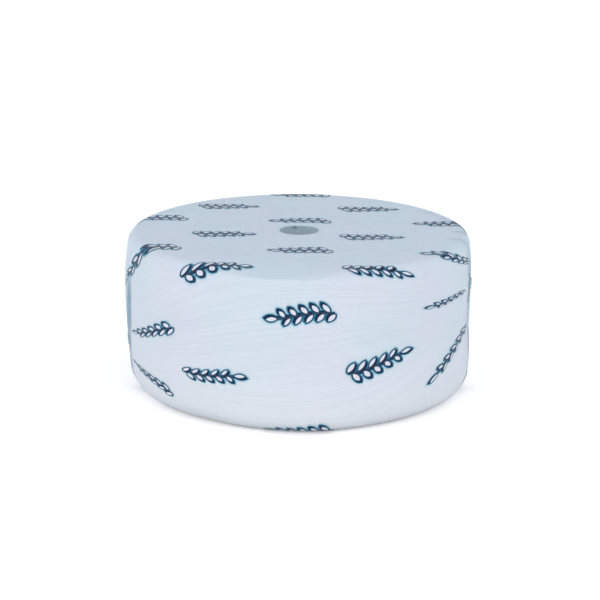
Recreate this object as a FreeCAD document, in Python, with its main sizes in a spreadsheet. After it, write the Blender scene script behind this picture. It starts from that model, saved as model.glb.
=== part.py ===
"""A jumbo wiper roll in its printed shrink film: a paper core, the wound wiping web and the film bag.

Millimetres. +Z is the roll's axis, up, and the origin is the centre of the underside, where it stands.
-Y is the front. The film was a tube lying along X, so its two end seals are on the left and right flanks.
"""

import FreeCAD, Part
import os

import Sketcher

SIZES = {
    # wiping web, wound on its core; the wrap pulls its edges round, the lower one more
    "web_width": 200.0,
    "web_radius": 219.3,
    "top_round": 12.6,
    "bottom_round": 21.2,
    "first_turn": 50.0,
    "turn_spacing": 42.0,
    "turn_width": 2.4,
    "turn_depth": 1.2,
    # paper core
    "core_bore": 50.0,
    "core_wall": 3.0,
    "core_inset": 0.5,
    "core_gap": 0.1,
    # film bag and its air vent
    "film_gauge": 0.5,
    "film_gap": 0.2,
    "vent_diameter": 5.0,
    "vent_left": 5.5,
    "vent_back": 10.0,
    # end seals, laid flat on the flanks, and the gathers that run into them
    "fold_height": 1.5,
    "seal_turned_back": 9.0,
    "seal_length": 160.0,
    "seal_width": 7.0,
    "right_seal_height": 138.0,
    "left_seal_height": 62.0,
    "gather_spacing": 34.0,
    "gather_root": 7.0,
    "gather_tip": 1.6,
    "gather_lean": 0.12,
    "gather_clear": 2.0,
}
TURN_COUNT = 3
TOP_STEPS = 3
BOTTOM_STEPS = 4
GATHER_COUNT = 5

doc = FreeCAD.newDocument("wiper_roll")
sheet = doc.addObject("Spreadsheet::Sheet", "Sizes")
for row, (name, value) in enumerate(SIZES.items(), start=1):
    sheet.set(f"A{row}", name)
    sheet.set(f"B{row}", str(value))
    sheet.setAlias(f"B{row}", name)
doc.recompute()

# Places that several pieces share, as expressions on the sheet.
WEB_BASE = "(Sizes.film_gauge + Sizes.film_gap)"
WEB_TOP = f"({WEB_BASE} + Sizes.web_width)"
CORE_RADIUS = "(Sizes.core_bore / 2 + Sizes.core_wall)"
FILM_INSIDE = "Sizes.film_gap"
FILM_OUTSIDE = "(Sizes.film_gap + Sizes.film_gauge)"
FOLD_FOOT = "(Sizes.film_gap + Sizes.film_gauge / 2)"
FOLD_CREST = "(Sizes.film_gap + Sizes.film_gauge + Sizes.fold_height)"


def body_with_sketch(name, plane):
    """A new body and an empty sketch on one of its own origin planes."""
    body = doc.addObject("PartDesign::Body", name)
    sketch = body.newObject("Sketcher::SketchObject", f"{name}_sketch")
    origin_plane = next(f for f in body.Origin.OriginFeatures if f.Role == plane)
    sketch.AttachmentSupport = (origin_plane, [""])
    sketch.MapMode = "FlatFace"
    return body, sketch


def hold(sketch, kind, first, formula):
    """Add a distance constraint from the sketch's origin, or a radius, that follows the sheet."""
    ends = first if kind == "Radius" else (-1, 1, *first)
    value = float(sketch.evalExpression(formula))
    index = sketch.addConstraint(Sketcher.Constraint(kind, *ends, value))
    sketch.setExpression(f"Constraints[{index}]", formula)


def draw_outline(sketch, corners):
    """A closed outline of straight lines through corners given as pairs of expressions."""
    points = [FreeCAD.Vector(*(float(sketch.evalExpression(f)) for f in corner)) for corner in corners]
    following = points[1:] + points[:1]
    sketch.addGeometry([Part.LineSegment(a, b) for a, b in zip(points, following)], False)
    for line in range(len(corners)):
        sketch.addConstraint(Sketcher.Constraint("Coincident", line, 2, (line + 1) % len(corners), 1))
    for line, (across, up) in enumerate(corners):
        hold(sketch, "DistanceX", (line, 1), across)
        hold(sketch, "DistanceY", (line, 1), up)


def drum_corners(growth):
    """The roll's outline up its side, grown all over by an expression, each rounded edge in equal chords."""
    side = f"Sizes.web_radius + {growth}"
    corners = []
    for step in range(BOTTOM_STEPS, -1, -1):
        angle = 90 * step / BOTTOM_STEPS
        rounding = f"(Sizes.bottom_round + {growth})"
        corners.append((
            f"{side} - {rounding} * (1 - cos({angle}))",
            f"{WEB_BASE} - {growth} + {rounding} * (1 - sin({angle}))",
        ))
    for step in range(TOP_STEPS + 1):
        angle = 90 * step / TOP_STEPS
        rounding = f"(Sizes.top_round + {growth})"
        corners.append((
            f"{side} - {rounding} * (1 - cos({angle}))",
            f"{WEB_TOP} + {growth} - {rounding} * (1 - sin({angle}))",
        ))
    return corners


def revolved(name, corners):
    """A body turned from an outline about the roll's axis."""
    body, sketch = body_with_sketch(name, "XZ_Plane")
    draw_outline(sketch, corners)
    turned = body.newObject("PartDesign::Revolution", f"{name}_turned")
    turned.Profile = sketch
    turned.ReferenceAxis = (sketch, ["V_Axis"])
    turned.Angle = 360
    return body


def solid_drum(name, growth):
    corners = drum_corners(growth)
    return revolved(name, [("0", corners[0][1]), *corners, ("0", corners[-1][1])])


# ---------------------------------------------------------------- core: a plain tube of wound paper

core, core_sketch = body_with_sketch("core", "XY_Plane")
for circle, radius in enumerate((CORE_RADIUS, "Sizes.core_bore / 2")):
    value = float(core_sketch.evalExpression(radius))
    core_sketch.addGeometry(Part.Circle(FreeCAD.Vector(), FreeCAD.Vector(0, 0, 1), value), False)
    core_sketch.addConstraint(Sketcher.Constraint("Coincident", circle, 3, -1, 1))
    hold(core_sketch, "Radius", (circle,), radius)
core_tube = core.newObject("PartDesign::Pad", "core_tube")
core_tube.Profile = core_sketch
core_tube.setExpression("Length", "Sizes.web_width - 2 * Sizes.core_inset")
core.setExpression("Placement.Base.z", f"{WEB_BASE} + Sizes.core_inset")

# ---------------------------------------------------------------- web: the turns, wound as one solid

web_bore = f"{CORE_RADIUS} + Sizes.core_gap"
web_side = drum_corners("0")


def turn_lines(face, inward):
    """The V-shaped lines between turns on one end face, from the core outwards."""
    corners = []
    for turn in range(TURN_COUNT):
        middle = f"Sizes.first_turn + {turn} * Sizes.turn_spacing"
        corners.append((f"{middle} - Sizes.turn_width / 2", face))
        corners.append((middle, f"{face} {inward} Sizes.turn_depth"))
        corners.append((f"{middle} + Sizes.turn_width / 2", face))
    return corners


web = revolved("wiper_web", [
    (web_bore, WEB_BASE),
    *turn_lines(WEB_BASE, "+"),
    *web_side,
    *reversed(turn_lines(WEB_TOP, "-")),
    (web_bore, WEB_TOP),
])

# ---------------------------------------------------------------- film: bag wall, seals and gathers

bag_outside = solid_drum("bag_outside", FILM_OUTSIDE)
bag_inside = solid_drum("bag_inside", FILM_INSIDE)
fold_crest = solid_drum("fold_crest", FOLD_CREST)
fold_foot = solid_drum("fold_foot", FOLD_FOOT)


def cut(name, base, tool):
    result = doc.addObject("Part::Cut", name)
    result.Base = base
    result.Tool = tool
    return result


def seal_corners(height):
    """One end seal seen from its flank: a long strip with pointed ends and gathers up and down from it."""
    edges = {
        "+": f"({WEB_TOP} - Sizes.top_round - Sizes.gather_clear)",
        "-": f"({WEB_BASE} + Sizes.bottom_round + Sizes.gather_clear)",
    }
    places = range(-(GATHER_COUNT // 2), GATHER_COUNT // 2 + 1)
    corners = []
    for side, edge in edges.items():
        half = []
        for place in places:
            root = f"{place} * Sizes.gather_spacing"
            lean = f"{place} * Sizes.gather_lean * abs({edge} - {height})"
            strip = f"{height} {side} Sizes.seal_width / 2"
            half += [
                (f"{root} - Sizes.gather_root / 2", strip),
                (f"{root} + {lean} - Sizes.gather_tip / 2", edge),
                (f"{root} + {lean} + Sizes.gather_tip / 2", edge),
                (f"{root} + Sizes.gather_root / 2", strip),
            ]
        if side == "+":
            corners += [("-Sizes.seal_length / 2", height), *half, ("Sizes.seal_length / 2", height)]
        else:
            corners += reversed(half)
    return corners


def seal(name, height, azimuth):
    """The seal and gathers on one flank: their outline, pushed out through the skin that they stand in."""
    body, sketch = body_with_sketch(f"{name}_outline", "YZ_Plane")
    draw_outline(sketch, seal_corners(height))
    push = body.newObject("PartDesign::Pad", f"{name}_push")
    push.Profile = sketch
    push.setExpression("Length", f"Sizes.web_radius + {FOLD_CREST} + Sizes.fold_height")
    body.setExpression("Placement.Rotation.Angle", azimuth)
    folds = doc.addObject("Part::Common", name)
    folds.Base = cut(f"{name}_skin", fold_crest, fold_foot)
    folds.Tool = body
    return folds


vent = doc.addObject("Part::Cylinder", "vent")
vent.setExpression("Radius", "Sizes.vent_diameter / 2")
vent.setExpression("Height", "2 * Sizes.film_gauge + Sizes.film_gap")
vent.setExpression("Placement.Base.x", "-Sizes.vent_left")
vent.setExpression("Placement.Base.y", "Sizes.vent_back")
vent.setExpression("Placement.Base.z", WEB_TOP)

bag = doc.addObject("Part::MultiFuse", "bag")
bag.Shapes = [
    cut("bag_wall", bag_outside, bag_inside),
    seal("right_seal", "Sizes.right_seal_height", "Sizes.seal_turned_back"),
    seal("left_seal", "Sizes.left_seal_height", "180 - Sizes.seal_turned_back"),
]
film = cut("film_wrapper", bag, vent)

# ---------------------------------------------------------------- check and write

doc.recompute()
pieces = (core, web, film)
for item in doc.Objects:
    if {"Invalid", "Error"} & set(item.State):
        raise RuntimeError(f"{item.Label} did not build: {item.State}")
for piece in pieces:
    if piece.Shape.isNull() or not piece.Shape.isValid():
        raise RuntimeError(f"{piece.Label} has no valid shape")

os.makedirs("parts", exist_ok=True)
for piece in pieces:
    piece.Shape.exportStep(f"parts/{piece.Label}.step")
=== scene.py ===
"""A jumbo wiper roll in its printed shrink film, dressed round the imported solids. Metres."""

import math

import bmesh
import bpy
from mathutils import Matrix, Vector


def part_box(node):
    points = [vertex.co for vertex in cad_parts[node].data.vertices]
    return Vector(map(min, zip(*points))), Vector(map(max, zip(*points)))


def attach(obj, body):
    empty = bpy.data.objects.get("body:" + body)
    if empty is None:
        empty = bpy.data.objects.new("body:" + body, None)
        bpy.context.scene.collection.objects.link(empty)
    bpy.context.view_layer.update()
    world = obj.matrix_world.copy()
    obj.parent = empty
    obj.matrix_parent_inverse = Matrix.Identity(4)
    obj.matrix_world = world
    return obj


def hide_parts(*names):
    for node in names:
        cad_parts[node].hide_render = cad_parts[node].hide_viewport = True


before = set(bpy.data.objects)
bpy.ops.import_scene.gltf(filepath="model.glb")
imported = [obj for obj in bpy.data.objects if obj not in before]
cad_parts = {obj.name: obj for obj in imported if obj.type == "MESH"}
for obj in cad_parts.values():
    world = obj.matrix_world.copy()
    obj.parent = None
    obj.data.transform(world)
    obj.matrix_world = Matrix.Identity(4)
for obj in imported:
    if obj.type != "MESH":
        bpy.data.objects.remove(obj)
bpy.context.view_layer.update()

# ---------------------------------------------------------------- camera
# A long lens a few steps off, raised a little, so that it looks slightly down on the roll's top.
# The last half degree of lift, swing and roll is how the camera happened to be held.

film_low, film_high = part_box("film_wrapper")
height = film_high.z - film_low.z
roll_middle = Vector((0, 0, height / 2))

camera_distance = 2.604
camera_elevation = math.radians(15.8)
camera_lift = math.radians(0.15)
camera_swing = math.radians(-0.04)
camera_roll = math.radians(0.41)
sensor_width_mm = 36
lens_mm = 121.3

scene = bpy.context.scene
camera_data = bpy.data.cameras.new("camera")
camera_data.sensor_width = sensor_width_mm
camera_data.lens = lens_mm
camera = bpy.data.objects.new("camera", camera_data)
scene.collection.objects.link(camera)
towards_camera = Vector((0, -math.cos(camera_elevation), math.sin(camera_elevation)))
camera.matrix_world = (
    Matrix.Translation(roll_middle + camera_distance * towards_camera)
    @ Matrix.Rotation(camera_swing, 4, "Z")
    @ Matrix.Rotation(math.pi / 2 - camera_elevation + camera_lift, 4, "X")
    @ Matrix.Rotation(camera_roll, 4, "Z")
)
scene.camera = camera

# ---------------------------------------------------------------- film wrapper
# A clear polythene tube, tinted and printed, drawn over the roll and shrunk tight by heat.
# Its ends are sealed flat on the two flanks, where the spare film gathers into pleats.
# The air left through a vent in the top, melted open with a hot pin.

rim_radius = 0.2170
top_round = 0.0133
bottom_round = 0.0219
top_reach = rim_radius - top_round
base_reach = rim_radius - bottom_round
film_thickness = 0.0005
vent_radius = 0.0025
vent_place = Vector((-0.0055, 0.010))
vent_reach = 0.060

film_around = 560
film_side_rows = 46
film_top_rings = 12
film_base_rings = 5
film_round_steps = 7
long_run = 0.05
weld_distance = 1e-6


def draw_on(mesh, corner, x, z):
    """Draw an outline on from one corner to the next, at x from the roll's axis and z up."""
    following = bmesh.ops.extrude_vert_indiv(mesh, verts=[corner])["verts"][0]
    following.co = (x, 0, z)
    return following


def round_off(mesh, corner, x, z, steps):
    """Carry an outline on from a corner through a quarter of a circle round the centre x, z."""
    bmesh.ops.spin(
        mesh, geom=[corner], cent=(x, 0, z), axis=(0, 1, 0), angle=math.pi / 2, steps=steps,
    )


def film_outline(mesh):
    """The bag's outline from the vent, over the shoulder, down the side and in under the base."""
    vent_edge = mesh.verts.new((vent_radius, 0, height))
    top_edge = draw_on(mesh, vent_edge, top_reach, height)
    round_off(mesh, top_edge, top_reach, height - top_round, film_round_steps)
    side_top = max(mesh.verts, key=lambda v: v.co.x)
    side_foot = draw_on(mesh, side_top, side_top.co.x, bottom_round)
    round_off(mesh, side_foot, base_reach, bottom_round, film_round_steps)
    base_edge = min(mesh.verts, key=lambda v: v.co.z)
    draw_on(mesh, base_edge, 0, base_edge.co.z)


def divide_long_runs(mesh):
    """Divide the three straight runs of the outline: top, side and base."""
    for edge in list(mesh.edges):
        if edge.calc_length() < long_run:
            continue
        first, second = edge.verts
        if abs(first.co.z - second.co.z) > long_run:
            runs = film_side_rows
        else:
            runs = film_top_rings if first.co.z > height / 2 else film_base_rings
        bmesh.ops.subdivide_edges(mesh, edges=[edge], cuts=runs - 1)


def turn_about_axis(mesh, steps):
    """Spin an outline once round the roll's axis, close the seam and point the faces outwards."""
    bmesh.ops.remove_doubles(mesh, verts=mesh.verts, dist=weld_distance)
    bmesh.ops.spin(
        mesh, geom=mesh.verts[:] + mesh.edges[:], cent=(0, 0, 0), axis=(0, 0, 1),
        angle=2 * math.pi, steps=steps, use_merge=True,
    )
    bmesh.ops.remove_doubles(mesh, verts=mesh.verts, dist=weld_distance)
    bmesh.ops.recalc_face_normals(mesh, faces=mesh.faces)


def smooth(low, high, value):
    """0 below low, 1 above high and a smooth rise between them."""
    share = min(max((value - low) / (high - low), 0), 1)
    return share * share * (3 - 2 * share)


def within(band, value):
    """1 inside a band, given as the ends of its rise and the ends of its fall, and 0 outside."""
    rise_start, rise_end, fall_start, fall_end = band
    return smooth(rise_start, rise_end, value) * (1 - smooth(fall_start, fall_end, value))


def azimuth_of(point):
    """The angle round the roll from the front, to the right as positive."""
    return math.atan2(point.x, -point.y)


# The side's slow swells and hollows. A level runs from 0 at the floor to 1 at the top.
side_bulge = 0.0042
low_band = (0.0, 0.20, 0.20, 0.5)
middle_band = (0.1, 0.35, 0.5, 0.8)
high_band = (0.4, 0.75, 0.75, 1.0)
right_low_swell = 0.0010
right_middle_hollow = 0.0017
left_low_hollow = 0.0022
left_high_swell = 0.0020
side_blend = 0.03


def side_swell(azimuth, level):
    """How far the side stands out beyond the rim."""
    barrel = side_bulge * (1 - (2 * level - 1) ** 2)
    on_right = max(math.sin(azimuth), 0) ** 2
    on_left = max(-math.sin(azimuth), 0) ** 2
    low = within(low_band, level)
    middle = within(middle_band, level)
    high = within(high_band, level)
    right_form = right_low_swell * low - right_middle_hollow * middle
    left_form = left_high_swell * high - left_low_hollow * low
    return barrel + on_right * right_form + on_left * left_form


# Where the lower edge's round is larger or smaller, in degrees to the left of the front.
left_foot_band = (14, 32, 120, 160)
left_foot_growth = 0.0065
far_foot_band = (50, 80, 110, 140)
far_foot_growth = 0.0060
front_foot_place = -8
front_foot_spread = 14
front_foot_shrinkage = 0.0050
foot_edge = 0.002


def cut_in(radius, height_up):
    """How far a rounded lower edge of this radius has turned in at a height above the floor."""
    rise = min(max(radius - height_up, 0), radius)
    return radius - math.sqrt(radius ** 2 - rise ** 2)


def foot_shift(azimuth, height_up):
    """How far the lower edge stands out, or in where its round is larger."""
    leftward = -math.degrees(azimuth)
    larger = left_foot_growth * within(left_foot_band, leftward)
    larger += far_foot_growth * within(far_foot_band, leftward)
    off_front = (leftward - front_foot_place) / front_foot_spread
    larger -= front_foot_shrinkage * math.exp(-off_front ** 2)
    return cut_in(bottom_round, height_up) - cut_in(bottom_round + larger, height_up)


# The worn patch at the front of the top, and how fast it sinks beyond its start.
droop_start = 0.165
droop_rate = 3.2
droop_azimuth = -5
droop_spread = 18


def front_droop(azimuth, radius, round_start):
    """How far the top sinks towards the front, to a firm edge low on the shoulder's round."""
    worn = math.exp(-((math.degrees(azimuth) - droop_azimuth) / droop_spread) ** 4)
    sunk = droop_rate * max(radius - droop_start, 0) ** 2
    out = min(max(radius - round_start, 0), top_round)
    return worn * max(sunk - (top_round - math.sqrt(top_round ** 2 - out ** 2)), 0)


def shrink_on(vert, relief, top, round_start):
    """Move a corner of the plain turned form to where the tight wrap holds it."""
    radius = vert.co.xy.length
    level = vert.co.z / height
    azimuth = azimuth_of(vert.co)
    on_side = smooth(rim_radius - side_blend, rim_radius, radius)
    grown = radius + (side_swell(azimuth, level) + relief) * on_side
    if radius > base_reach - foot_edge and level < 0.5:
        grown += foot_shift(azimuth, vert.co.z)
    if vert.co.z > top - top_round:
        vert.co.z -= front_droop(azimuth, radius, round_start)
    vert.co.x *= grown / radius
    vert.co.y *= grown / radius


# The two end seals' places, the gathers that fan out from them, and the upright tuck.
seal_azimuth = math.radians(99)
seal_length = 0.160
seal_heights = {"right": 0.138, "left": 0.062}
gather_spacing = 0.034
gathers_end = (seal_length * 0.40, seal_length * 0.56)
gather_fan = 3.5
long_fold_reach = 0.066
long_fold_half_width = 0.0048
long_fold_height = 0.0017
short_fold_reach = 0.034
short_fold_half_width = 0.0040
short_fold_height = 0.0012
seal_hollow_reach = 0.05
seal_hollow_depth = 0.0012
tuck_azimuth = math.radians(-75.3)
tuck_lean = math.radians(7.0)
tuck_band = (0.26, 0.46, 0.62, 0.90)
tuck_end_width = 0.35
tuck_crease_half_width = 0.0055
tuck_layers_half_width = 0.0090
tuck_depth = 0.0012
pleat_band = (0.0, 0.06, 0.80, 0.95)
# How much each counts as doubled film; the finish darkens these places as painted shade too.
long_fold_layers = 0.55
short_fold_layers = 0.45
seal_hollow_layers = 0.25


def from_seal(side, azimuth, level):
    """Place on the side as seen from a seal's middle: distance along it and height above it."""
    sign = 1 if side == "right" else -1
    along = math.remainder(azimuth - sign * seal_azimuth, 2 * math.pi) * rim_radius * sign
    return along, level * height - seal_heights[side]


def hump(distance, half_width):
    """A rounded rise, 1 in its middle."""
    return math.exp(-(distance / half_width) ** 2)


def folds(side, azimuth, level):
    """Strength of the long folds, the short folds and the hollow between them at a seal."""
    along, off = from_seal(side, azimuth, level)
    root = along / (1 + gather_fan * abs(off))
    inside = 1 - smooth(*gathers_end, abs(root))
    on_long = hump(math.remainder(root, gather_spacing), long_fold_half_width)
    on_short = hump(
        math.remainder(root + gather_spacing / 2, gather_spacing), short_fold_half_width,
    )
    long_folds = inside * hump(off, long_fold_reach) * on_long
    short_folds = inside * hump(off, short_fold_reach) * on_short
    return long_folds, short_folds, inside * hump(off, seal_hollow_reach)


def tuck(azimuth, level, half_width):
    """Strength of the tuck that runs up from the left seal's front end, narrower at both ends."""
    off = (azimuth - tuck_azimuth - tuck_lean * (level - 0.5)) * rim_radius
    upright = within(tuck_band, level)
    width_share = tuck_end_width + (1 - tuck_end_width) * upright
    return upright * hump(off, half_width * width_share)


def pleat(azimuth, level):
    """How far the gathered film stands out: folds that fan from each seal and die out away."""
    lift = 0
    for side in seal_heights:
        long_folds, short_folds, hollow = folds(side, azimuth, level)
        lift += long_fold_height * long_folds + short_fold_height * short_folds
        lift -= seal_hollow_depth * hollow
    return lift - tuck_depth * tuck(azimuth, level, tuck_crease_half_width)


def spare_film(azimuth, level):
    """Share of doubled film, 1 where it lies in several layers at a seal, fold or tuck; the finish
    also darkens it there as painted shade.
    """
    share = 0
    for side in seal_heights:
        long_folds, short_folds, hollow = folds(side, azimuth, level)
        share += long_fold_layers * long_folds + short_fold_layers * short_folds
        share += seal_hollow_layers * hollow
    return min(share + tuck(azimuth, level, tuck_layers_half_width), 1)


# The tube laid flat, as it was printed: the runs of its outline and its reach to each side.
shoulder_run = top_round * math.pi / 2
side_run = height - top_round - bottom_round
foot_run = bottom_round * math.pi / 2
drop = shoulder_run + side_run + foot_run
half_tube = top_reach + drop + base_reach
tube_reach = 0.262
flank_crowding = 0.9
flat_end = 1e-5


def seal_line_height(azimuth):
    """Height at which the upper and the lower film meet, from the left seal up to the right."""
    middle = (seal_heights["right"] + seal_heights["left"]) / 2
    rise = (seal_heights["right"] - seal_heights["left"]) / 2
    return middle + rise * math.sin(azimuth)


def run_down(point):
    """Length along the outline from the edge of the flat top down to a point of the side."""
    radius = point.xy.length
    if point.z > height - top_round:
        return top_round * math.atan2(radius - top_reach, point.z - height + top_round)
    if point.z > bottom_round:
        return shoulder_run + height - top_round - point.z
    turned_in = math.atan2(bottom_round - point.z, radius - base_reach)
    return shoulder_run + side_run + bottom_round * turned_in


def side_place(point, face_middle):
    """Where a corner of a face on the side lies on the flat tube: across it and along it.

    The upper film and the lower film run in to the line where they meet, ever closer towards the
    seals, and a seal takes up the whole width of both.
    """
    middle_azimuth = azimuth_of(face_middle)
    azimuth = middle_azimuth + math.remainder(azimuth_of(point) - middle_azimuth, 2 * math.pi)
    front = abs(middle_azimuth) < seal_azimuth
    facing = azimuth if front else math.remainder(math.pi - azimuth, 2 * math.pi)
    upper = face_middle.z > seal_line_height(middle_azimuth)
    share = min(max(run_down(point) / drop, 0), 1)
    meet = (shoulder_run + height - top_round - seal_line_height(azimuth)) / drop
    nearness = min(share / meet if upper else (1 - share) / (1 - meet), 1)
    nearness **= 1 + flank_crowding * math.sin(facing) ** 4

    sign = 1 if azimuth > 0 else -1
    off_seal = abs(math.remainder(azimuth - sign * seal_azimuth, 2 * math.pi)) * rim_radius
    spread = min(off_seal / (seal_length / 2), 1)
    start = top_reach * math.cos(facing)
    end = half_tube - base_reach * math.cos(facing)
    fold = (start + end) / 2
    if upper:
        along = start + (fold * spread - start) * nearness
    else:
        along = end + (half_tube + (fold - half_tube) * spread - end) * nearness
    pulled = 0.5 * nearness if upper else 1 - 0.5 * nearness

    seal_middle = seal_azimuth if front else math.pi - seal_azimuth
    seal_end = seal_middle - seal_length / 2 / rim_radius
    turn = min(abs(facing) / seal_end, 1)
    reach = rim_radius * seal_end * turn + (tube_reach - rim_radius * seal_end) * turn ** 3
    across = (top_reach + (base_reach - top_reach) * pulled) * math.sin(facing)
    wider = math.copysign(reach, facing) - rim_radius * math.sin(facing)
    across += wider * 4 * pulled * (1 - pulled)
    return across, (along if front else -along)


def film_place(point, face_middle):
    """Where a corner of a face lies on the flat tube: across it and along it."""
    if face_middle.z > height - flat_end:
        return point.x, -point.y
    if face_middle.z < flat_end:
        front = face_middle.y < -base_reach * math.cos(seal_azimuth)
        return point.x, (half_tube if front else -half_tube) + point.y
    return side_place(point, face_middle)


def smooth_piece(name, mesh):
    """A smooth-shaded object at the origin from a finished bmesh."""
    data = bpy.data.meshes.new(name)
    mesh.to_mesh(data)
    mesh.free()
    data.shade_smooth()
    piece = bpy.data.objects.new(name, data)
    scene.collection.objects.link(piece)
    return piece


def give_wall(piece, thickness, offset):
    """Give a skin its gauge: inwards at an offset of -1, half to each side at 0."""
    wall = piece.modifiers.new("wall", "SOLIDIFY")
    wall.thickness = thickness
    wall.offset = offset


film_mesh = bmesh.new()
film_outline(film_mesh)
divide_long_runs(film_mesh)
turn_about_axis(film_mesh, film_around)

film_layout = film_mesh.loops.layers.uv.new("film")
for face in film_mesh.faces:
    face_middle = face.calc_center_median()
    for loop in face.loops:
        loop[film_layout].uv = film_place(loop.vert.co, face_middle)

film_layers = film_mesh.verts.layers.float.new("spare_film")
for vert in film_mesh.verts:
    level = vert.co.z / height
    azimuth = azimuth_of(vert.co)
    radius = vert.co.xy.length
    vert[film_layers] = spare_film(azimuth, level) * (radius > base_reach)
    if radius > weld_distance:
        shrink_on(vert, pleat(azimuth, level) * within(pleat_band, level), height, top_reach)
    if level > 0.99:
        pull = 1 - smooth(vent_radius, vent_reach, radius)
        vert.co.x += vent_place.x * pull
        vert.co.y += vent_place.y * pull

film = smooth_piece("film_wrapper_skin", film_mesh)
give_wall(film, film_thickness, -1)


class Nodes:
    """A material's node tree with short calls for the nodes that the finishes here use."""

    def __init__(self, tree):
        self.tree = tree

    def add(self, kind, **settings):
        node = self.tree.nodes.new(kind)
        for name, value in settings.items():
            setattr(node, name, value)
        return node

    def feed(self, socket, value):
        if isinstance(value, bpy.types.NodeSocket):
            self.tree.links.new(value, socket)
        else:
            socket.default_value = value

    def on_object(self):
        return self.add("ShaderNodeTexCoord").outputs["Object"]

    def axes(self, vector):
        node = self.add("ShaderNodeSeparateXYZ")
        self.feed(node.inputs[0], vector)
        return node.outputs["X"], node.outputs["Y"], node.outputs["Z"]

    def flat_point(self, x, y):
        node = self.add("ShaderNodeCombineXYZ")
        self.feed(node.inputs["X"], x)
        self.feed(node.inputs["Y"], y)
        return node.outputs[0]

    def reckon(self, operation, first, second=0.0, third=0.0):
        node = self.add("ShaderNodeMath", operation=operation)
        for socket, value in zip(node.inputs, (first, second, third)):
            self.feed(socket, value)
        return node.outputs[0]

    def blend(self, share, first, second, kind="RGBA"):
        node = self.add("ShaderNodeMix", data_type=kind)
        self.feed(node.inputs["Factor"], share)
        self.feed(node.inputs["A"], first)
        self.feed(node.inputs["B"], second)
        return node.outputs["Result"]

    def step(self, value, low, high, start=0.0, stop=1.0):
        node = self.add("ShaderNodeMapRange", interpolation_type="SMOOTHSTEP")
        for socket, item in zip(node.inputs, (value, low, high, start, stop)):
            self.feed(socket, item)
        return node.outputs["Result"]

    def noise(self, vector, scale, detail, roughness=0.5):
        node = self.add("ShaderNodeTexNoise")
        self.feed(node.inputs["Vector"], vector)
        self.feed(node.inputs["Scale"], scale)
        self.feed(node.inputs["Detail"], detail)
        self.feed(node.inputs["Roughness"], roughness)
        return node.outputs["Fac"]

    def mapped(self, vector, scale=(1, 1, 1), shift=(0, 0, 0)):
        node = self.add("ShaderNodeMapping")
        self.feed(node.inputs["Vector"], vector)
        self.feed(node.inputs["Scale"], scale)
        self.feed(node.inputs["Location"], shift)
        return node.outputs["Vector"]

    def bump(self, height_map, distance, strength, under=None):
        node = self.add("ShaderNodeBump")
        self.feed(node.inputs["Height"], height_map)
        self.feed(node.inputs["Distance"], distance)
        self.feed(node.inputs["Strength"], strength)
        if under is not None:
            self.feed(node.inputs["Normal"], under)
        return node.outputs["Normal"]


def new_material(name):
    """A material, its nodes and its one Principled shader."""
    material = bpy.data.materials.new(name)
    material.use_nodes = True
    nodes = Nodes(material.node_tree)
    shader = next(n for n in material.node_tree.nodes if n.type == "BSDF_PRINCIPLED")
    return material, nodes, shader


# One sprig of the print, and its rows on the flat tube.
stem_start = -0.036
stem_bend = 0.0028
stem_bend_rate = 57.0
stem_half_width = 0.0006
leaf_steps = 5
leaf_pitch = 0.0120
leaf_reach = 0.0067
leaf_half_width = 0.0031
leaf_turn = math.radians(52)
leaf_lift = 0.0060
first_leaf_size = 1.05
leaf_shrinkage = 0.05
tip_leaf_overhang = 0.8
far_away = 0.02
print_turn = math.radians(-3.5)
sprig_pitch = 0.186
sprig_rows = 16
row_pitch = 2 * half_tube / sprig_rows
row_start = 0.10


def pointed_leaf(nodes, lengthwise, sideways):
    """Distance from the edge of a leaf bounded by two equal arcs."""
    bow = (leaf_reach ** 2 + leaf_half_width ** 2) / (2 * leaf_half_width)
    lifted = nodes.reckon("ADD", nodes.reckon("ABSOLUTE", sideways), bow - leaf_half_width)
    squares = nodes.reckon("MULTIPLY", lengthwise, lengthwise)
    squares = nodes.reckon("MULTIPLY_ADD", lifted, lifted, squares)
    return nodes.reckon("SUBTRACT", nodes.reckon("SQRT", squares), bow)


def side_leaves(nodes, along, off_stem):
    """Distance from the leaves on both sides of the stem, half a step apart and ever smaller."""
    above = nodes.reckon("GREATER_THAN", off_stem, 0.0)
    from_start = nodes.reckon("SUBTRACT", along, stem_start)
    shifted = nodes.reckon("MULTIPLY_ADD", above, leaf_pitch / 2, from_start)
    step = nodes.reckon("FLOOR", nodes.reckon("DIVIDE", shifted, leaf_pitch))
    in_step = nodes.reckon("SUBTRACT", shifted, nodes.reckon("MULTIPLY", step, leaf_pitch))
    size = nodes.reckon("MULTIPLY_ADD", step, -leaf_shrinkage, first_leaf_size)
    leaf_x = nodes.reckon("DIVIDE", nodes.reckon("SUBTRACT", in_step, leaf_pitch / 2), size)
    leaf_y = nodes.reckon("DIVIDE", nodes.reckon("ABSOLUTE", off_stem), size)
    leaf_y = nodes.reckon("SUBTRACT", leaf_y, leaf_lift)
    x_run = nodes.reckon("MULTIPLY", leaf_x, math.cos(leaf_turn))
    x_rise = nodes.reckon("MULTIPLY", leaf_x, math.sin(leaf_turn))
    y_run = nodes.reckon("MULTIPLY", leaf_y, math.sin(leaf_turn))
    y_rise = nodes.reckon("MULTIPLY", leaf_y, math.cos(leaf_turn))
    lengthwise = nodes.reckon("ADD", x_run, y_run)
    sideways = nodes.reckon("SUBTRACT", y_rise, x_rise)
    leaf = nodes.reckon("MULTIPLY", pointed_leaf(nodes, lengthwise, sideways), size)
    middle_step = (leaf_steps - 1) / 2
    off_middle = nodes.reckon("ABSOLUTE", nodes.reckon("SUBTRACT", step, middle_step))
    off_row = nodes.reckon("GREATER_THAN", off_middle, middle_step + 0.1)
    return nodes.reckon("MULTIPLY_ADD", off_row, far_away, leaf)


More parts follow.
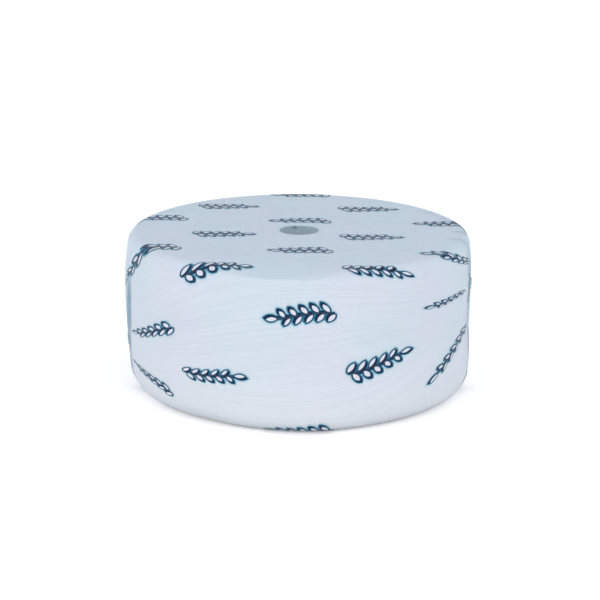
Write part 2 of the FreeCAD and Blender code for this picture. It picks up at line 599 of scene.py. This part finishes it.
def stem_line(nodes, along, off_stem):
    """Distance from the stem's edge, round at both ends."""
    stem_reach = leaf_steps * leaf_pitch / 2
    off_middle = nodes.reckon("SUBTRACT", along, stem_start + stem_reach)
    past_end = nodes.reckon("SUBTRACT", nodes.reckon("ABSOLUTE", off_middle), stem_reach)
    past_end = nodes.reckon("MAXIMUM", past_end, 0.0)
    squares = nodes.reckon("MULTIPLY", off_stem, off_stem)
    squares = nodes.reckon("MULTIPLY_ADD", past_end, past_end, squares)
    return nodes.reckon("SUBTRACT", nodes.reckon("SQRT", squares), stem_half_width)


def sprig_distance():
    """A node group: distance in metres from a leafy sprig's edge, negative inside it.

    The sprig lies along x with its middle at the origin. Its leaves are all one pointed form, and
    the last one stands at the stem's tip.
    """
    group = bpy.data.node_groups.new("sprig_distance", "ShaderNodeTree")
    group.interface.new_socket("Place", in_out="INPUT", socket_type="NodeSocketVector")
    group.interface.new_socket("Distance", in_out="OUTPUT", socket_type="NodeSocketFloat")
    nodes = Nodes(group)
    along, across, _ = nodes.axes(nodes.add("NodeGroupInput").outputs["Place"])
    bend = nodes.reckon("SINE", nodes.reckon("MULTIPLY", along, stem_bend_rate))
    bend = nodes.reckon("MULTIPLY", bend, stem_bend)
    off_stem = nodes.reckon("SUBTRACT", across, bend)
    leaves = side_leaves(nodes, along, off_stem)
    stem = stem_line(nodes, along, off_stem)
    tip = stem_start + leaf_steps * leaf_pitch + leaf_reach * tip_leaf_overhang
    tip_leaf = pointed_leaf(nodes, nodes.reckon("SUBTRACT", along, tip), off_stem)
    nearest = nodes.reckon("MINIMUM", nodes.reckon("MINIMUM", leaves, stem), tip_leaf)
    nodes.feed(nodes.add("NodeGroupOutput").inputs["Distance"], nearest)
    return group


def place_in_row(nodes, layout):
    """Where a point of the print lies as seen from its sprig; every second row is turned over."""
    across, along, _ = nodes.axes(layout)
    slanted = nodes.reckon("MULTIPLY_ADD", across, math.tan(print_turn), along)
    rows = nodes.reckon("MULTIPLY_ADD", slanted, 1 / row_pitch, row_start)
    odd = nodes.reckon("FLOORED_MODULO", nodes.reckon("FLOOR", rows), 2.0)
    columns = nodes.reckon("DIVIDE", across, sprig_pitch)
    columns = nodes.reckon("MULTIPLY_ADD", odd, 0.5, columns)
    cell_x = nodes.reckon("SUBTRACT", nodes.reckon("FRACT", columns), 0.5)
    cell_y = nodes.reckon("SUBTRACT", nodes.reckon("FRACT", rows), 0.5)
    facing = nodes.reckon("MULTIPLY_ADD", odd, -2.0, 1.0)
    place_x = nodes.reckon("MULTIPLY", nodes.reckon("MULTIPLY", cell_x, sprig_pitch), facing)
    place_y = nodes.reckon("MULTIPLY", nodes.reckon("MULTIPLY", cell_y, -row_pitch), facing)
    return nodes.flat_point(place_x, place_y)


def off_sprig(nodes, group, place):
    """Distance of a place from the sprig's edge, read from the node group."""
    node = nodes.add("ShaderNodeGroup", node_tree=group)
    nodes.feed(node.inputs["Place"], place)
    return node.outputs["Distance"]


# The print's lines as distances from the sprig's edge, outer limit first, and its colours.
cast_shift = (-0.0018, 0.0022, 0)
halo_edge = (0.0056, 0.0018)
teal_edge = (0.0019, 0.0012)
navy_edge = (0.0005, 0.0001)
white_edge = (-0.0004, -0.0009)
halo_aqua = (0.40, 0.80, 0.88, 1)
print_teal = (0.006, 0.150, 0.280, 1)
print_navy = (0.001, 0.016, 0.055, 1)
print_white = (0.68, 0.71, 0.81, 1)
halo_share = 0.55

# The film's milk: mottled, paler near the foot as painted light bounced up from the floor, bluer
# in layers with painted shade in their folds, and painted shade round the vent.
milk_blue = (0.535, 0.705, 0.805, 1)
milk_violet = (0.600, 0.685, 0.825, 1)
painted_floor_bounce = (0.80, 0.83, 0.88, 1)
floor_bounce_fade = (0.12, 0.02)
floor_bounce_share = 0.55
layered_milk_and_fold_shade = (0.14, 0.32, 0.44, 1)
layered_and_shade_share = 0.85
vent_painted_shade = (0.05, 0.10, 0.13, 1)
vent_shade_edge = (0.0044, 0.0030)

# How much of what lies behind each of them covers, from 0 for clear to 1.
clear_cover = 0.205
streak_cover = 0.032
halo_cover = 0.08
layered_cover = 0.40
vent_shade_cover = 0.50
ink_cover = 0.93


def film_finish():
    """Milky, faintly blue film with rows of leafy sprigs in white, teal and navy."""
    material, nodes, shader = new_material("printed_film")
    layout = nodes.add("ShaderNodeUVMap", uv_map="film").outputs["UV"]
    place = place_in_row(nodes, layout)
    group = sprig_distance()
    sprig = off_sprig(nodes, group, place)
    cast = off_sprig(nodes, group, nodes.mapped(place, shift=cast_shift))
    nearest = nodes.reckon("MINIMUM", sprig, cast)
    halo = nodes.step(nearest, *halo_edge)
    teal = nodes.step(nearest, *teal_edge)
    navy = nodes.step(nearest, *navy_edge)
    white = nodes.step(sprig, *white_edge)

    objects = nodes.on_object()
    mottle = nodes.step(nodes.noise(objects, scale=11.0, detail=3.0), 0.36, 0.64)
    foot = nodes.step(nodes.axes(objects)[2], *floor_bounce_fade)
    layered = nodes.add("ShaderNodeAttribute", attribute_name="spare_film").outputs["Fac"]
    from_vent = nodes.add("ShaderNodeVectorMath", operation="DISTANCE")
    nodes.feed(from_vent.inputs[0], objects)
    nodes.feed(from_vent.inputs[1], (vent_place.x, vent_place.y, height))
    vent_shade = nodes.step(from_vent.outputs["Value"], *vent_shade_edge)

    colour = nodes.blend(mottle, milk_blue, milk_violet)
    # Painted light: paler towards the foot, as if lit from the floor below.
    colour = nodes.blend(nodes.reckon("MULTIPLY", foot, floor_bounce_share), colour, painted_floor_bounce)
    # Bluer where the film lies doubled, and darker there as painted shade in the folds, the seal
    # hollows and the tuck's crease.
    colour = nodes.blend(nodes.reckon("MULTIPLY", layered, layered_and_shade_share), colour, layered_milk_and_fold_shade)
    # Painted shade: near black round the vent, for the shade in its hole.
    colour = nodes.blend(vent_shade, colour, vent_painted_shade)
    colour = nodes.blend(nodes.reckon("MULTIPLY", halo, halo_share), colour, halo_aqua)
    colour = nodes.blend(teal, colour, print_teal)
    colour = nodes.blend(navy, colour, print_navy)
    colour = nodes.blend(white, colour, print_white)
    nodes.feed(shader.inputs["Base Color"], colour)

    streaks = nodes.noise(nodes.mapped(layout, scale=(5, 420, 1)), scale=1.0, detail=2.0)
    streaks = nodes.step(streaks, 0.3, 0.7)
    cover = nodes.reckon("MULTIPLY_ADD", streaks, streak_cover, clear_cover)
    cover = nodes.reckon("MULTIPLY_ADD", halo, halo_cover, cover)
    cover = nodes.reckon("MULTIPLY_ADD", layered, layered_cover, cover)
    # The painted shade round the vent also hides more of the paper behind it.
    cover = nodes.reckon("MULTIPLY_ADD", vent_shade, vent_shade_cover, cover)
    ink = nodes.reckon("MAXIMUM", teal, white)
    nodes.feed(shader.inputs["Alpha"], nodes.blend(ink, cover, ink_cover, "FLOAT"))

    drawn = nodes.mapped(layout, scale=(6, 95, 1))
    drawn = nodes.noise(drawn, scale=1.0, detail=3.0, roughness=0.55)
    waves = nodes.noise(objects, scale=16.0, detail=2.0)
    normal = nodes.bump(drawn, distance=0.0010, strength=0.6)
    normal = nodes.bump(waves, distance=0.005, strength=0.6, under=normal)
    nodes.feed(shader.inputs["Normal"], normal)
    gloss = nodes.step(waves, 0.3, 0.7, start=0.36, stop=0.46)
    nodes.feed(shader.inputs["Roughness"], gloss)
    shader.inputs["IOR"].default_value = 1.45
    shader.inputs["Specular IOR Level"].default_value = 0.2
    return material


film.data.materials.append(film_finish())
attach(film, "root")
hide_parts("film_wrapper")

# ---------------------------------------------------------------- end seals
# Where the tube's upper and lower film were pressed together by a hot bar and cut off.
# Each is a stiff crimped strip, laid down flat against its flank and shrunk to the gathers' width.

seal_width = 0.009
seal_thickness = 0.0006
seal_stand = 0.0004
strip_along_steps = 220
strip_down_steps = 6
strip_above_line = 0.35
tapered_part = (0.38, 0.5)
end_narrowing = 0.75
slow_sag, slow_sag_rate, slow_sag_start = 0.0011, 95, 0.6
quick_sag, quick_sag_rate = 0.0007, 231
crimp_pitch = 0.0030
crimp_height = 0.00018
crimped_part = (0.05, 0.25)
curl_height = 0.0006
curled_part = (0.3, 1.0)
curl_change, curl_change_rate = 0.6, 140


def strip_place(side, lengthwise, crosswise):
    """Where a point of a flat strip, one unit each way about its middle, lies on its flank."""
    along = lengthwise * seal_length
    down = (0.5 - crosswise) * seal_width
    taper = 1 - smooth(*tapered_part, abs(lengthwise)) * end_narrowing
    sag = slow_sag * math.sin(along * slow_sag_rate + slow_sag_start)
    sag += quick_sag * math.sin(along * quick_sag_rate)
    height_up = seal_heights[side] + seal_width * strip_above_line - down * taper + sag
    azimuth = (1 if side == "right" else -1) * (seal_azimuth + along / rim_radius)
    level = height_up / height
    crimp = crimp_height * math.cos(2 * math.pi * along / crimp_pitch)
    crimp *= smooth(*crimped_part, crosswise + 0.5)
    curl = curl_height * taper * smooth(*curled_part, 0.5 - crosswise)
    curl *= 1 + curl_change * math.sin(along * curl_change_rate)
    out = rim_radius + side_swell(azimuth, level) + max(pleat(azimuth, level), 0)
    out += seal_stand * taper + crimp + curl
    return Vector((out * math.sin(azimuth), -out * math.cos(azimuth), height_up))


def end_seal(side):
    """One crimped strip, bent round its flank."""
    strip = bmesh.new()
    bmesh.ops.create_grid(
        strip, x_segments=strip_along_steps, y_segments=strip_down_steps, size=0.5,
    )
    for vert in strip.verts:
        vert.co = strip_place(side, vert.co.x, vert.co.y)
    bmesh.ops.recalc_face_normals(strip, faces=strip.faces)
    middle_face = strip.faces[:][len(strip.faces) // 2]
    outwards = middle_face.calc_center_median()
    outwards.z = 0
    if middle_face.normal.dot(outwards) < 0:
        bmesh.ops.reverse_faces(strip, faces=strip.faces)
    piece = smooth_piece(f"{side}_end_seal", strip)
    give_wall(piece, seal_thickness, 0)
    return piece


welded_blue = (0.34, 0.50, 0.60, 1)
welded_pale = (0.58, 0.70, 0.80, 1)


def seal_finish():
    """The film's own polythene in several welded layers: bluer and closer to opaque."""
    material, nodes, shader = new_material("welded_film")
    cloud = nodes.mapped(nodes.on_object(), scale=(60, 60, 25))
    cloud = nodes.noise(cloud, scale=1.0, detail=3.0)
    nodes.feed(shader.inputs["Base Color"], nodes.blend(cloud, welded_blue, welded_pale))
    nodes.feed(shader.inputs["Normal"], nodes.bump(cloud, distance=0.0008, strength=0.6))
    gloss = nodes.step(cloud, 0.2, 0.8, start=0.28, stop=0.42)
    nodes.feed(shader.inputs["Roughness"], gloss)
    shader.inputs["IOR"].default_value = 1.45
    shader.inputs["Alpha"].default_value = 0.8
    return material


seal_material = seal_finish()
for side in seal_heights:
    end_strip = end_seal(side)
    end_strip.data.materials.append(seal_material)
    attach(end_strip, "root")
    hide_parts("film_wrapper")

# ---------------------------------------------------------------- wiping web
# Hundreds of turns of soft white creped paper wound tight on the core, cut square at both ends.
# The film pulls its edges round, and the side swells a little between them.

web_low, web_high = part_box("wiper_web")
core_low, core_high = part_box("core")
core_gap = 0.0001
bore_radius = core_high.x + core_gap
web_slack = film_thickness + 0.0004
web_top_reach = top_reach - web_slack
turn_radii = (0.050, 0.092, 0.134)
turn_half_width = 0.0009
turn_depth = 0.0006
pleat_clearance = 0.0009
pleat_onset = 0.0002
web_around = 240
web_side_cuts = 30
web_round_steps = 6
sharp_edge = math.radians(30)


def turn_lines(level, depth):
    """Corners of the shallow lines between turns on one end, from the core outwards."""
    corners = []
    for radius in turn_radii:
        corners += [
            (radius - turn_half_width, level),
            (radius, level + depth),
            (radius + turn_half_width, level),
        ]
    return corners


def web_outline(mesh):
    """The wound paper's section from the bore, over the top, down the side and back below."""
    bottom, top = web_low.z, web_high.z
    corner = mesh.verts.new((bore_radius, 0, top))
    top_corners = turn_lines(top, -turn_depth)
    for radius in (droop_start, (droop_start + web_top_reach) / 2, web_top_reach):
        top_corners.append((radius, top))
    for x, z in top_corners:
        corner = draw_on(mesh, corner, x, z)
    round_off(mesh, corner, web_top_reach, top - top_round, web_round_steps)
    side_top = max(mesh.verts, key=lambda v: v.co.x)
    side_foot = draw_on(mesh, side_top, side_top.co.x, bottom + bottom_round)
    side = list(side_foot.link_edges)
    foot_reach = rim_radius - web_slack - bottom_round
    round_off(mesh, side_foot, foot_reach, bottom + bottom_round, web_round_steps)
    bmesh.ops.subdivide_edges(mesh, edges=side, cuts=web_side_cuts)
    corner = min(mesh.verts, key=lambda v: (round(v.co.z, 6), v.co.x))
    base_corners = turn_lines(bottom, turn_depth)[::-1]
    for x, z in base_corners + [(bore_radius, bottom), (bore_radius, top)]:
        corner = draw_on(mesh, corner, x, z)


web_mesh = bmesh.new()
web_outline(web_mesh)
turn_about_axis(web_mesh, web_around)
for vert in web_mesh.verts:
    relief = pleat(azimuth_of(vert.co), vert.co.z / height)
    dent = min(relief, 0) - pleat_clearance * smooth(0, pleat_onset, abs(relief))
    shrink_on(vert, dent, web_high.z, web_top_reach)
web = smooth_piece("wound_paper", web_mesh)
web.data.set_sharp_from_angle(angle=sharp_edge)

edge_grey = (0.84, 0.86, 0.89, 1)
edge_white = (0.90, 0.91, 0.93, 1)
band_blue = (0.80, 0.84, 0.90, 1)
band_share = 0.25


def paper_finish():
    """Soft white paper: fine crepe on the side, the edges of its turns on the ends."""
    material, nodes, shader = new_material("creped_paper")
    objects = nodes.on_object()
    x, y, _ = nodes.axes(objects)
    from_axis = nodes.add("ShaderNodeVectorMath", operation="LENGTH")
    nodes.feed(from_axis.inputs[0], nodes.flat_point(x, y))
    turns = nodes.add("ShaderNodeTexNoise", noise_dimensions="1D")
    nodes.feed(turns.inputs["W"], from_axis.outputs["Value"])
    nodes.feed(turns.inputs["Scale"], 900.0)
    nodes.feed(turns.inputs["Detail"], 3.0)
    turns = turns.outputs["Fac"]
    crepe = nodes.noise(nodes.mapped(objects, scale=(1, 1, 6)), scale=220.0, detail=3.0)
    bands = nodes.noise(nodes.mapped(objects, scale=(1, 1, 0.2)), scale=20.0, detail=2.0)
    tint = nodes.blend(turns, edge_grey, edge_white)
    tint = nodes.blend(nodes.reckon("MULTIPLY", bands, band_share), tint, band_blue)
    nodes.feed(shader.inputs["Base Color"], tint)
    normal = nodes.bump(turns, distance=0.0006, strength=0.4)
    normal = nodes.bump(crepe, distance=0.0008, strength=0.5, under=normal)
    nodes.feed(shader.inputs["Normal"], normal)
    shader.inputs["Roughness"].default_value = 0.95
    shader.inputs["Specular IOR Level"].default_value = 0.2
    return material


web.data.materials.append(paper_finish())
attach(web, "root")
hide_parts("wiper_web")

# ---------------------------------------------------------------- core
# A tube of grey-brown board, wound in a spiral from glued strips and cut off just inside the web.
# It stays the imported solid, with the strips' joints and fibres in its finish.

strip_lead = 0.11
joint_width = 0.012
cut_end_depth = (0.0004, 0.0002)
board_dark = (0.22, 0.38, 0.42, 1)
board_light = (0.29, 0.47, 0.51, 1)
joint_shade = (0.10, 0.18, 0.21, 1)
cut_end_pale = (0.80, 0.84, 0.87, 1)


def board_finish():
    """Recycled board with a spiral joint and short fibres, its cut ends as pale as the paper."""
    material, nodes, shader = new_material("core_board")
    objects = nodes.on_object()
    x, y, z = nodes.axes(objects)
    turned = nodes.reckon("DIVIDE", nodes.reckon("ARCTAN2", y, x), 2 * math.pi)
    lead = nodes.reckon("ADD", turned, nodes.reckon("DIVIDE", z, strip_lead))
    joint = nodes.reckon("SUBTRACT", nodes.reckon("FRACT", lead), 0.5)
    board = nodes.step(nodes.reckon("ABSOLUTE", joint), 0.0, joint_width)
    fibres = nodes.noise(nodes.mapped(objects, scale=(1, 1, 3)), scale=260.0, detail=4.0)
    off_middle = nodes.reckon("SUBTRACT", z, (core_low.z + core_high.z) / 2)
    half_length = (core_high.z - core_low.z) / 2
    cut_end = nodes.step(
        nodes.reckon("ABSOLUTE", off_middle), *(half_length - depth for depth in cut_end_depth),
    )
    colour = nodes.blend(fibres, board_dark, board_light)
    colour = nodes.blend(board, joint_shade, colour)
    nodes.feed(shader.inputs["Base Color"], nodes.blend(cut_end, colour, cut_end_pale))
    normal = nodes.bump(board, distance=0.0008, strength=0.6)
    normal = nodes.bump(fibres, distance=0.0004, strength=0.4, under=normal)
    nodes.feed(shader.inputs["Normal"], normal)
    shader.inputs["Roughness"].default_value = 0.92
    return material


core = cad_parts["core"]
core.data.materials.clear()
core.data.materials.append(board_finish())

# ---------------------------------------------------------------- floor and light
# A pale floor that keeps the roll's shadow, an even sky, and two large soft lamps from the front.
# Floor and sky are a little brighter where they are looked at than where they only give light.

floor_size = 30
floor_colour = (0.95, 0.95, 0.95, 1)
shown_floor_colour = (1, 1, 1, 1)
shown_floor_glow = 0.28
sky_colour = (0.95, 1.0, 1.05, 1)
shown_sky_colour = (1, 1, 1, 1)
sky_strength = 0.78
shown_sky_lift = 0.22
lamp_size = 2.0
lamp_colour = (1.0, 0.88, 0.81)
lamps = {"front_left": ((-2.2, -2.1, 1.0), 29.5), "front_right": ((2.3, -2.2, 0.9), 28)}


def looked_at(nodes, *kinds):
    """1 for the kinds of ray by which a surface is looked at, 0 for those that only light."""
    rays = nodes.add("ShaderNodeLightPath").outputs
    share = 0.0
    for kind in kinds:
        share = nodes.reckon("MAXIMUM", share, rays[f"Is {kind} Ray"])
    return share


floor_mesh = bmesh.new()
bmesh.ops.create_grid(floor_mesh, x_segments=1, y_segments=1, size=floor_size)
floor = smooth_piece("floor", floor_mesh)

floor_material = bpy.data.materials.new("pale_floor")
floor_material.use_nodes = True
floor_material.node_tree.nodes.clear()
floor_nodes = Nodes(floor_material.node_tree)
plain = floor_nodes.add("ShaderNodeBsdfDiffuse")
plain.inputs["Color"].default_value = floor_colour
shown = floor_nodes.add("ShaderNodeBsdfDiffuse")
shown.inputs["Color"].default_value = shown_floor_colour
glow = floor_nodes.add("ShaderNodeEmission")
glow.inputs["Strength"].default_value = shown_floor_glow
glowing = floor_nodes.add("ShaderNodeAddShader")
floor_nodes.feed(glowing.inputs[0], shown.outputs[0])
floor_nodes.feed(glowing.inputs[1], glow.outputs[0])
choice = floor_nodes.add("ShaderNodeMixShader")
floor_nodes.feed(choice.inputs[0], looked_at(floor_nodes, "Camera", "Glossy", "Transmission"))
floor_nodes.feed(choice.inputs[1], plain.outputs[0])
floor_nodes.feed(choice.inputs[2], glowing.outputs[0])
floor_nodes.feed(floor_nodes.add("ShaderNodeOutputMaterial").inputs["Surface"], choice.outputs[0])
floor.data.materials.append(floor_material)

world = bpy.data.worlds.new("studio")
scene.world = world
world.use_nodes = True
sky = Nodes(world.node_tree)
backdrop = next(n for n in world.node_tree.nodes if n.type == "BACKGROUND")
shown_colour = looked_at(sky, "Camera", "Transmission")
sky.feed(backdrop.inputs["Color"], sky.blend(shown_colour, sky_colour, shown_sky_colour))
lifted = looked_at(sky, "Camera", "Transmission", "Glossy")
strength = sky.reckon("MULTIPLY_ADD", lifted, shown_sky_lift, sky_strength)
sky.feed(backdrop.inputs["Strength"], strength)

for name, (place, power) in lamps.items():
    lamp_data = bpy.data.lights.new(name, "AREA")
    lamp_data.size = lamp_size
    lamp_data.energy = power
    lamp_data.color = lamp_colour
    lamp = bpy.data.objects.new(name, lamp_data)
    lamp.location = place
    lamp.rotation_euler = (roll_middle - Vector(place)).to_track_quat("-Z", "Y").to_euler()
    scene.collection.objects.link(lamp)

scene.view_settings.view_transform = "Standard"
